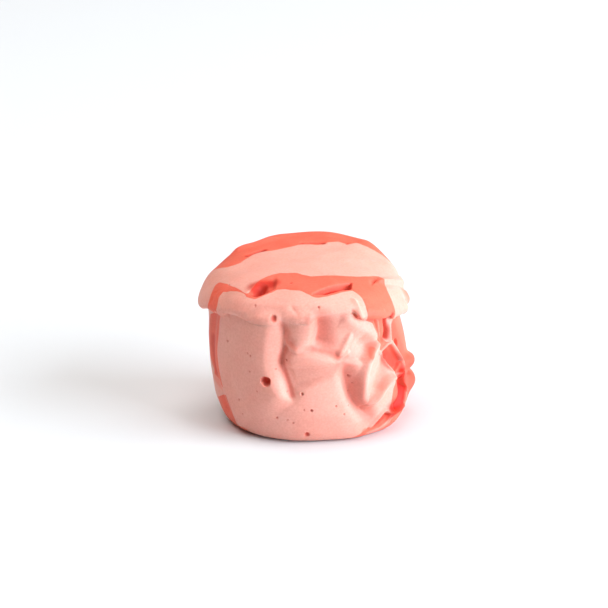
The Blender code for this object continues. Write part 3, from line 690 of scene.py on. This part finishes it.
def seam_y(seam, x, z):
    """Where a seam runs, at each (x, z)."""
    bend = np.clip(np.abs(x) / SEAM_REACH, 0.0, 1.0) ** 2
    side = np.where(x < 0, line_table(seam.left, z), line_table(seam.right, z))
    below = seam.middle_y + (side - seam.middle_y) * bend
    lip = LIP_AT_MIDDLE + (LIP_AT_SIDE - LIP_AT_MIDDLE) * np.clip(np.abs(x) / LIP_REACH, 0.0, 1.0) ** 2
    above = ease((z - lip) / LIP_BLEND + 0.5)
    return below * (1.0 - above) + line_table(seam.top, x) * above


def seams_at(x, z):
    """All seams from front to back, kept apart by a layer's least thickness."""
    found = [seam_y(seam, x, z) for seam in SEAMS]
    for i in range(1, len(found)):
        found[i] = np.maximum(found[i], found[i - 1] + THINNEST_LAYER)
    return found


base_middle = seams_at(np.zeros(1), np.zeros(1))
print("seams at the middle of the base:", [round(float(y[0]), 2) for y in base_middle])

# %% Make the plate that one slab fills
PLATE_HALF_WIDTH = 14.0
PLATE_FLOOR, PLATE_CEILING = -0.5, 20.8
PLATE_DEPTH = 15.0
PLATE_COLUMNS, PLATE_ROWS = 170, 120  # the columns crowd towards both sides, where the seams twist most


def face_outwards(mesh):
    shape = bmesh.new()
    shape.from_mesh(mesh)
    bmesh.ops.recalc_face_normals(shape, faces=shape.faces[:])
    shape.to_mesh(mesh)
    shape.free()


def make_plate(name, front, back):
    """A closed plate between two seams, or out to a plain face where the index names no seam."""
    shape = bmesh.new()
    bmesh.ops.create_grid(shape, x_segments=PLATE_COLUMNS, y_segments=PLATE_ROWS, size=1.0)
    bmesh.ops.triangulate(shape, faces=shape.faces[:])
    thickened = bmesh.ops.extrude_face_region(shape, geom=shape.faces[:], use_keep_orig=True)
    far_side = [v for v in thickened["geom"] if isinstance(v, bmesh.types.BMVert)]
    bmesh.ops.translate(shape, verts=far_side, vec=(0.0, 0.0, 1.0))
    mesh = bpy.data.meshes.new(name)
    shape.to_mesh(mesh)
    shape.free()

    across, up, depth = mesh_points(mesh).T
    x = np.sin(across * math.pi / 2) * PLATE_HALF_WIDTH
    z = PLATE_FLOOR + (up + 1.0) / 2.0 * (PLATE_CEILING - PLATE_FLOOR)
    y = np.where(depth < 0.5, -PLATE_DEPTH, PLATE_DEPTH)
    seams = seams_at(x, z)
    if 0 <= front < len(seams):
        y = np.where(depth < 0.5, seams[front] + SLAB_GAP / 2, y)
    if 0 <= back < len(seams):
        y = np.where(depth > 0.5, seams[back] - SLAB_GAP / 2, y)
    set_points(mesh, np.stack([x, y, z], axis=1))
    face_outwards(mesh)
    return add_object(name, mesh)


# %% Cut the skin into its four slabs
SLABS = (
    ("front_pale_slab", "front_pale_layer", "pale_taffy_front"),
    ("front_coral_slab", "front_coral_layer", "coral_taffy_front"),
    ("middle_pale_slab", "middle_pale_layer", "pale_taffy_middle"),
    ("back_coral_slab", "back_coral_layer", "coral_taffy_back"),
)
CREASE_ANGLE = math.radians(55.0)  # skin meets seam at about 90 degrees, and folds stay below this


def cut_slab(name, index):
    """The part of the skin inside one plate, closed by the seams."""
    plate = make_plate(name + "_plate", index - 1, index)
    slab = add_object(name, skin.copy())
    slab.data.name = name
    cut = slab.modifiers.new("plate", "BOOLEAN")
    cut.operation = "INTERSECT"
    cut.solver = "MANIFOLD"
    cut.object = plate
    with bpy.context.temp_override(object=slab, active_object=slab, selected_objects=[slab]):
        bpy.ops.object.modifier_apply(modifier=cut.name)
    bpy.data.meshes.remove(plate.data)
    slab.data.shade_smooth()
    slab.data.set_sharp_from_angle(angle=CREASE_ANGLE)
    return slab


slabs = {}
for index, (name, node, finish) in enumerate(SLABS):
    slab = slabs[name] = cut_slab(name, index)
    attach(slab, "root")
    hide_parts(node)
    print(name, len(slab.data.polygons), "faces")
bpy.data.meshes.remove(skin)

# %% [markdown]
# ## Marks that the two colours leave on each other, and painted shade and highlight
#
# Pulled taffy is sticky, so its colours smear. Pale taffy is dragged thinly over a coral crease, and
# where the pale slab is stretched thin over a fold, the coral behind it glows through. Shade is painted in
# as well: a darker, redder colour in creases, openings and bubbles, and one pale line is a painted
# highlight on a lit rim. All are kept as numbers on the mesh's points, drawn with the same paths as folds,
# so they follow the surface and travel with it.

# %% Smears and blushes, with painted shade and a painted highlight among them: a path, its half width in mm, and how strong it is
PALE_SMEARS_AND_HIGHLIGHT = (
    (FACET_UPPER_RIM, 0.15, 0.9),
    (FACET_RIGHT_RIM, 0.18, 0.9),
    (TROUGH_LOOP, 0.14, 0.7),
    (PLEAT_CREST[1:], 0.14, 0.9),
    (PLEAT_LOOP, 0.12, 0.8),
    ([(51.5, 3.4), (55, 3), (59.7, 2.7), (65, 2.8), (69, 3.1)], 0.24, 0.9),
    ([(43, 0.5), (48, 0.7), (54, 1.2), (60, 2)], 0.4, 0.5),
    (WEDGE_STRIPE, 0.13, 0.35),
    (WEDGE_RIDGE[:-1], 0.24, 0.8),
    # a painted highlight: the front slab's lit left rim, drawn as a pale line on the coral beside it
    ([(-57.5, 15.8), (-60.2, 14.4), (-61.8, 12.4), (-63.8, 10.3), (-63.4, 9.2), (-62.6, 8.1), (-60.4, 6.5),
      (-57.3, 5.2), (-54.8, 3.8), (-53.4, 2.4)], 0.16, 0.7),
)
CORAL_BLUSHES_AND_SHADES = (
    ([(39, 12.2), (38.2, 11.8), (37.4, 11.3)], 0.62, 0.4),
    ([(38.8, 12.05), (38.2, 11.75), (37.6, 11.3)], 0.4, 0.95),
    ([(52.5, 10), (49.5, 8.6), (46.3, 7.2), (44.3, 6.2)], 0.9, 0.3),
    ([(38.5, 1.2), (40, 0.9)], 0.4, 0.8),
    # painted shade: the redder shade inside the largest opened bubble
    ([(-22.6, 8.7), (-22.2, 8.7)], 0.52, 1),
    ([(44.4, 6.8), (43.4, 5.8)], 0.5, 0.3),
    # painted shade in the creases under the panel, under the slanting folds and at the furrow's branch
    ([(8.5, 12.6), (14, 12.1), (18.5, 11.6)], 0.3, 0.3),
    ([(20.5, 11.2), (24, 11.6)], 0.22, 0.3),
    ([(-9, 13.6), (-6, 13.1)], 0.3, 0.25),
    # painted shade inside two more opened bubbles, and in the crease under the lip's curl
    ([(-17.9, 16.75), (-17.9, 16.65)], 0.36, 0.6),
    ([(0.6, 1.4), (0.7, 1.4)], 0.34, 0.6),
    ([(28.3, 16.8), (30.5, 16.3)], 0.16, 0.6),
    ([(-75, 6.2), (-68, 5.6), (-63, 5.2)], 0.55, 0.45),
    ([(87, 15.9), (91, 15.2)], 0.8, 0.7),
)
# painted shade: the insides of creases and openings are darkened and reddened where shade falls; taffy that
# was torn open a moment ago is also redder than the smeared skin
CREASE_SHADES_AND_DEEP_REDS = (
    ([(53, 10.4), (58, 9.7), (64, 8.9)], 1.2, 0.66),
    ([(67.5, 7), (68, 6.2), (68.5, 5.2), (67.5, 4.2), (64, 3.5), (58, 3)], 1.4, 1),
    ([(73, 7.8), (79, 7.4), (85, 7)], 1.7, 0.36),
    ([(72, 6.4), (79, 6.1), (87, 5.9)], 0.6, 0.55),
    ([(72, 5.2), (79, 4.8), (85, 4.5)], 1.7, 0.4),
    ([(55.6, 15.5), (55.6, 14.6), (55.9, 13.5), (54.6, 12.6)], 0.38, 0.9),
    ([(66, 13), (69, 11), (73, 9.5)], 1.2, 0.3),
    ([(-74.5, 11), (-75, 9.6), (-74, 8.4), (-72, 7.2)], 0.8, 0.45),
    ([(46, 1.7), (50, 2.3), (53, 2.7)], 0.35, 0.5),
    ([(-12.8, 15.6), (-11, 14.6), (-8.6, 13.7)], 0.6, 0.24),
    ([(-12, 12.7), (-14.2, 11.6), (-14.3, 10.9), (-13, 9.8), (-10.4, 8.1), (-8.2, 6.8)], 0.42, 0.45),
    ([(8.2, 16.6), (9, 15.6), (9.2, 14.6), (10.5, 13.5)], 1.6, 0.3),
    ([(2, 12.9), (9.5, 12.9), (13.5, 12.5), (18.8, 11.9)], 0.6, 0.3),
    ([(23, 10.4), (25.6, 9.2), (27.7, 7.8), (30, 6.4), (34, 5), (40, 3.2)], 1.35, 0.32),
)
OPENING_SHADES_ABOVE = (
    # painted shade inside the two slits and on the torn opening's back slope in the upper cut
    ([(-7.2, 4.4), (-6.3, 4.9), (-5.1, 5.3)], 0.4, 0.9),
    ([(-0.3, 7.15), (0.8, 7.2), (2.1, 6.95)], 0.45, 0.9),
    ([(-6.1, -7.1), (-5.2, -6.8), (-4.2, -6.6)], 1.15, 0.85),
)


# a mark is at full strength out to this share of its half width, and gone one half width further out
MARK_CORE, RED_CORE = 0.5, 0.35
MARK_REACH, RED_REACH = 2.5, 2.0  # half widths within which a point is tested
MARKS_BELOW = 17.2  # smears and blushes end at this height, so the upper cut stays clean
WALL_BELOW, CAP_ABOVE = 18.5, 15.5  # heights that limit the openings of the wall and of the cap
BUBBLE_RIM = 1.05  # the shade reaches just past a bubble's rim
# painted shade: how strongly it darkens and reddens the inside of each kind of opening
BUBBLE_SHADE, OPENING_SHADE = 0.6, 1.0  # how red the inside of each kind of opening looks
DEEP = 0.6  # openings at least this deep, in mm, are coloured in full


def places(mesh):
    """A mesh's points in mm, and their bearings."""
    points = mesh_points(mesh) / MM + MIDDLE
    return points, np.degrees(np.arctan2(points[:, 0], -points[:, 1]))


def keep_mark(mesh, name, strength):
    """Store a mark on the mesh's points, and count the points where it is strong."""
    mark = mesh.attributes.new(name, "FLOAT", "POINT")
    mark.data.foreach_set("value", strength.astype(np.float32))
    return int((strength > 0.5).sum())


def paint(mesh, name, marks):
    """Keep on each point how strongly it is marked."""
    points, bearing = places(mesh)
    strength = np.zeros(len(points))
    for path, width, amount in marks:
        sheet = sheet_near(path, bearing, points[:, 2])
        near, away, _ = distance_to(curve_through(on_sheet(path)), sheet, MARK_REACH * width)
        painted = amount * (1.0 - ease(np.abs(away) / width - MARK_CORE))
        strength[near] = np.maximum(strength[near], painted)
    strength *= points[:, 2] < MARKS_BELOW
    return keep_mark(mesh, name, strength)


def shade_openings(mesh):
    """Keep on each point how strongly shade is painted on it, inside bubbles, openings and creases."""
    points, bearing = places(mesh)
    sheet = front_sheet(bearing, points[:, 2])
    side, top = points[:, 2] < WALL_BELOW, points[:, 2] > CAP_ABOVE
    inside = np.zeros(len(points))
    for bubble in WALL_BUBBLES:
        rimmed = bubble._replace(radius=bubble.radius * BUBBLE_RIM)
        share = bubble_share(rimmed, sheet, on_sheet([bubble.at])[0])
        inside = np.maximum(inside, BUBBLE_SHADE * side * share)
    for bubble in CAP_BUBBLES:
        inside = np.maximum(inside, BUBBLE_SHADE * top * bubble_share(bubble, points[:, :2], bubble.at))
    for shown, where, marks in ((side, sheet, [(on_sheet(path), *rest) for path, *rest in CREASE_SHADES_AND_DEEP_REDS]),
                                (top, points[:, :2], OPENING_SHADES_ABOVE)):
        for path, width, amount in marks:
            near, away, _ = distance_to(curve_through(path), where, RED_REACH * width)
            red = amount * (1.0 - ease(np.abs(away) / width - RED_CORE))
            inside[near] = np.maximum(inside[near], shown[near] * red)
    for pocket in CAP_POCKETS:
        depth = ease(pocket.depth / DEEP)
        inside = np.maximum(inside, OPENING_SHADE * depth * top * pocket_share(pocket, points[:, :2]))
    return keep_mark(mesh, "deep_shade_and_red", inside)


for name, slab in slabs.items():
    print(name, "marked points:", paint(slab.data, "pale_smear_and_highlight", PALE_SMEARS_AND_HIGHLIGHT),
          paint(slab.data, "coral_blush_and_shade", CORAL_BLUSHES_AND_SHADES), shade_openings(slab.data))

# %% [markdown]
# ## The look of pulled taffy
#
# Taffy is boiled sugar that is pulled until it is full of fine air. The air makes it pale, matt and a
# little translucent: light sinks in by a fraction of a millimetre and comes back warmer, which is why its
# shadows look redder than its lit side. So each material is a plain rough skin over subsurface scattering,
# with two scales of air bubble: pin-pricks, whose dents are painted with shade so that they show as dark
# dots, and a haze that only tilts the surface. Creases, openings and bubbles get a redder painted shade.

# %% Colours and the one helper that adds a node
def from_hex(code):
    """An sRGB hex colour as the linear numbers that shaders use."""
    values = [int(code[i : i + 2], 16) / 255.0 for i in (1, 3, 5)]
    return tuple(v / 12.92 if v <= 0.04045 else ((v + 0.055) / 1.055) ** 2.4 for v in values) + (1.0,)


def node(tree, kind, links=(), **settings):
    """Add a node, set what is named, and link each (socket, source) pair."""
    made = tree.nodes.new(kind)
    for name, value in settings.items():
        if hasattr(made, name):
            setattr(made, name, value)
        else:
            made.inputs[name.replace("_", " ")].default_value = value
    for socket, source in links:
        tree.links.new(source, made.inputs[socket])
    return made


PALE_HEX, PALE_DEEP_HEX = "#eda99a", "#e89d8c"
CORAL_HEX, CORAL_DEEP_HEX = "#f0705a", "#ea624b"
# what grain keeps of the colour round it, and what painted shade keeps of it in a pin-prick and inside a
# crease, opening or bubble
GRAIN_HEX, PINPRICK_SHADE_HEX, DEEP_SHADE_HEX = "#e3d2cc", "#d98a78", "#cf5032"
print("pale taffy is", [round(v, 3) for v in from_hex(PALE_HEX)[:3]])

# %% Pulled taffy, pale or coral
PINPRICK_SPACING = 1.5 * MM  # one pin-prick bubble in about this length
PINPRICK_LARGEST = 0.085  # its radius as a share of that
PINPRICK_DEPTH = 0.08 * MM
# the haze of air is finer than 0.05 mm, too fine to show, so it is drawn as coarse as it needs to show
HAZE_SPACING = 0.16 * MM
HAZE_DEPTH = 0.03 * MM
GRAIN_SIZE = 0.28 * MM  # the same air as darker and lighter flecks, drawn coarser for the same reason
CLOUD_SIZE = 3.0 * MM  # slow drifts of tone, as wide as the strands that were pulled and folded
LIGHT_DEPTH = 0.3 * MM  # how far light sinks into the aerated sugar


def pulled_taffy(name, main, deep, other, mark):
    """Taffy of one colour, with the other colour where the named mark is."""
    material = bpy.data.materials.new(name)
    material.use_nodes = True
    tree = material.node_tree
    tree.nodes.clear()
    place = node(tree, "ShaderNodeTexCoord").outputs["Object"]
    cloud = node(tree, "ShaderNodeTexNoise", [("Vector", place)], Scale=1.0 / CLOUD_SIZE, Detail=3.0)
    tone = node(tree, "ShaderNodeMapRange", [("Value", cloud.outputs["Fac"])],
                From_Min=0.35, From_Max=0.7, To_Min=0.0, To_Max=0.55)
    body = node(tree, "ShaderNodeMix", [("Factor", tone.outputs["Result"])],
                data_type="RGBA", A=main, B=deep)

    grain = node(tree, "ShaderNodeTexNoise", [("Vector", place)], Scale=1.0 / GRAIN_SIZE, Detail=1.0)
    speck = node(tree, "ShaderNodeMapRange", [("Value", grain.outputs["Fac"])],
                 From_Min=0.3, From_Max=0.7, To_Min=0.0, To_Max=0.3)
    marked = node(tree, "ShaderNodeAttribute", attribute_name=mark)
    deep_shade_mark = node(tree, "ShaderNodeAttribute", attribute_name="deep_shade_and_red")
    cells = node(tree, "ShaderNodeTexVoronoi", [("Vector", place)], Scale=1.0 / PINPRICK_SPACING)
    size = node(tree, "ShaderNodeMapRange", [("Value", cells.outputs["Color"])],
                From_Min=0.55, From_Max=1.0, To_Min=0.0, To_Max=PINPRICK_LARGEST)
    prick = node(tree, "ShaderNodeMath", [(0, size.outputs["Result"]), (1, cells.outputs["Distance"])],
                 operation="SUBTRACT")
    hole = node(tree, "ShaderNodeMapRange", [("Value", prick.outputs["Value"])],
                From_Min=0.0, From_Max=0.03, To_Min=0.0, To_Max=1.0)

    # each layer changes what lies under it: grain, smears and blushes with the painted shade and highlight
    # among them, the painted shade of creases and openings, and last the painted shade of pin-pricks
    surface = body.outputs["Result"]
    for amount, blend, colour in (
        (speck.outputs["Result"], "MULTIPLY", from_hex(GRAIN_HEX)),
        (marked.outputs["Fac"], "MIX", other),
        (deep_shade_mark.outputs["Fac"], "MULTIPLY", from_hex(DEEP_SHADE_HEX)),
        (hole.outputs["Result"], "MULTIPLY", from_hex(PINPRICK_SHADE_HEX)),
    ):
        layer = node(tree, "ShaderNodeMix", [("Factor", amount), ("A", surface)],
                     data_type="RGBA", blend_type=blend, B=colour)
        surface = layer.outputs["Result"]

    haze = node(tree, "ShaderNodeTexNoise", [("Vector", place)], Scale=1.0 / HAZE_SPACING, Detail=2.0)
    skin_bump = node(tree, "ShaderNodeBump", [("Height", haze.outputs["Fac"])],
                     Strength=0.45, Distance=HAZE_DEPTH)
    prick_bump = node(tree, "ShaderNodeBump",
                      [("Height", hole.outputs["Result"]), ("Normal", skin_bump.outputs["Normal"])],
                      Strength=0.6, Distance=PINPRICK_DEPTH, invert=True)
    shader = node(tree, "ShaderNodeBsdfPrincipled",
                  [("Base Color", surface), ("Normal", prick_bump.outputs["Normal"])],
                  Roughness=0.55, IOR=1.48, Specular_IOR_Level=0.28, Subsurface_Weight=0.5,
                  Subsurface_Radius=(1.0, 0.4, 0.3), Subsurface_Scale=LIGHT_DEPTH)
    node(tree, "ShaderNodeOutputMaterial", [("Surface", shader.outputs["BSDF"])])
    return material


pale = pulled_taffy("pulled_taffy_pale", from_hex(PALE_HEX), from_hex(PALE_DEEP_HEX),
                    from_hex(CORAL_HEX), "coral_blush_and_shade")
coral = pulled_taffy("pulled_taffy_coral", from_hex(CORAL_HEX), from_hex(CORAL_DEEP_HEX),
                     from_hex(PALE_HEX), "pale_smear_and_highlight")
for name, slab in slabs.items():
    slab.data.materials.clear()
    slab.data.materials.append(pale if "pale" in name else coral)
print("finishes:", pale.name, coral.name)

# %% [markdown]
# ## The floor and the light
#
# Sweets are shown on a plain pale sweep. The floor here is a wide disc, so that it runs past every view.
# Three soft area lamps light it: a low key from the right rakes the folds, a lamp overhead fills the upper
# cut, and a weak one behind shapes the creases there. The pale surroundings keep the shadow light.

# %% Lay the floor
FLOOR_RADIUS = 1600.0 * MM
shape = bmesh.new()
bmesh.ops.create_circle(shape, cap_ends=True, segments=96, radius=FLOOR_RADIUS)
bmesh.ops.recalc_face_normals(shape, faces=shape.faces[:])
floor_mesh = bpy.data.meshes.new("studio_floor")
shape.to_mesh(floor_mesh)
shape.free()
floor = add_object("studio_floor", floor_mesh)

# uncoated paper spreads light evenly, so it shows the soft shadow and no highlight
paper = bpy.data.materials.new("matt_white_paper")
paper.use_nodes = True
paper_shader = paper.node_tree.nodes["Principled BSDF"]
paper_shader.inputs["Base Color"].default_value = from_hex("#dee2e4")
paper_shader.inputs["Roughness"].default_value = 0.9
paper_shader.inputs["Specular IOR Level"].default_value = 0.1
floor_mesh.materials.append(paper)
print("floor radius:", FLOOR_RADIUS, "m")

# %% Light it
AIM_HEIGHT = 10.0 * MM


def add_lamp(name, bearing, elevation, distance, size, watts, tint=(1.0, 1.0, 1.0)):
    """A square area lamp that looks at the chunk from a bearing and an elevation in degrees."""
    lamp = bpy.data.lights.new(name, "AREA")
    lamp.shape = "SQUARE"
    lamp.size = size
    lamp.energy = watts
    lamp.color = tint
    holder = add_object(name, lamp)
    b, e = math.radians(bearing), math.radians(elevation)
    holder.location = (distance * math.cos(e) * math.sin(b), -distance * math.cos(e) * math.cos(b),
                       distance * math.sin(e) + AIM_HEIGHT)
    holder.rotation_euler = (math.pi / 2 - e, 0.0, b)
    return holder


add_lamp("key_softbox", bearing=66.0, elevation=15.0, distance=0.7, size=0.62, watts=12.3,
         tint=(0.9, 0.99, 1.08))
add_lamp("top_softbox", bearing=-75.0, elevation=80.0, distance=0.8, size=0.7, watts=5.9,
         tint=(1.03, 0.98, 0.95))
back_lamp = add_lamp("back_softbox", bearing=134.0, elevation=24.0, distance=0.8, size=0.4, watts=1.9)
back_lamp.visible_glossy = False  # it shapes the creases behind, and leaves no glare on the upper cut
world = bpy.data.worlds.new("white_room")
world.use_nodes = True
surroundings = world.node_tree.nodes["Background"]
surroundings.inputs["Color"].default_value = from_hex("#fff1ea")
surroundings.inputs["Strength"].default_value = 0.16
bpy.context.scene.world = world
bpy.context.scene.view_settings.view_transform = "Standard"
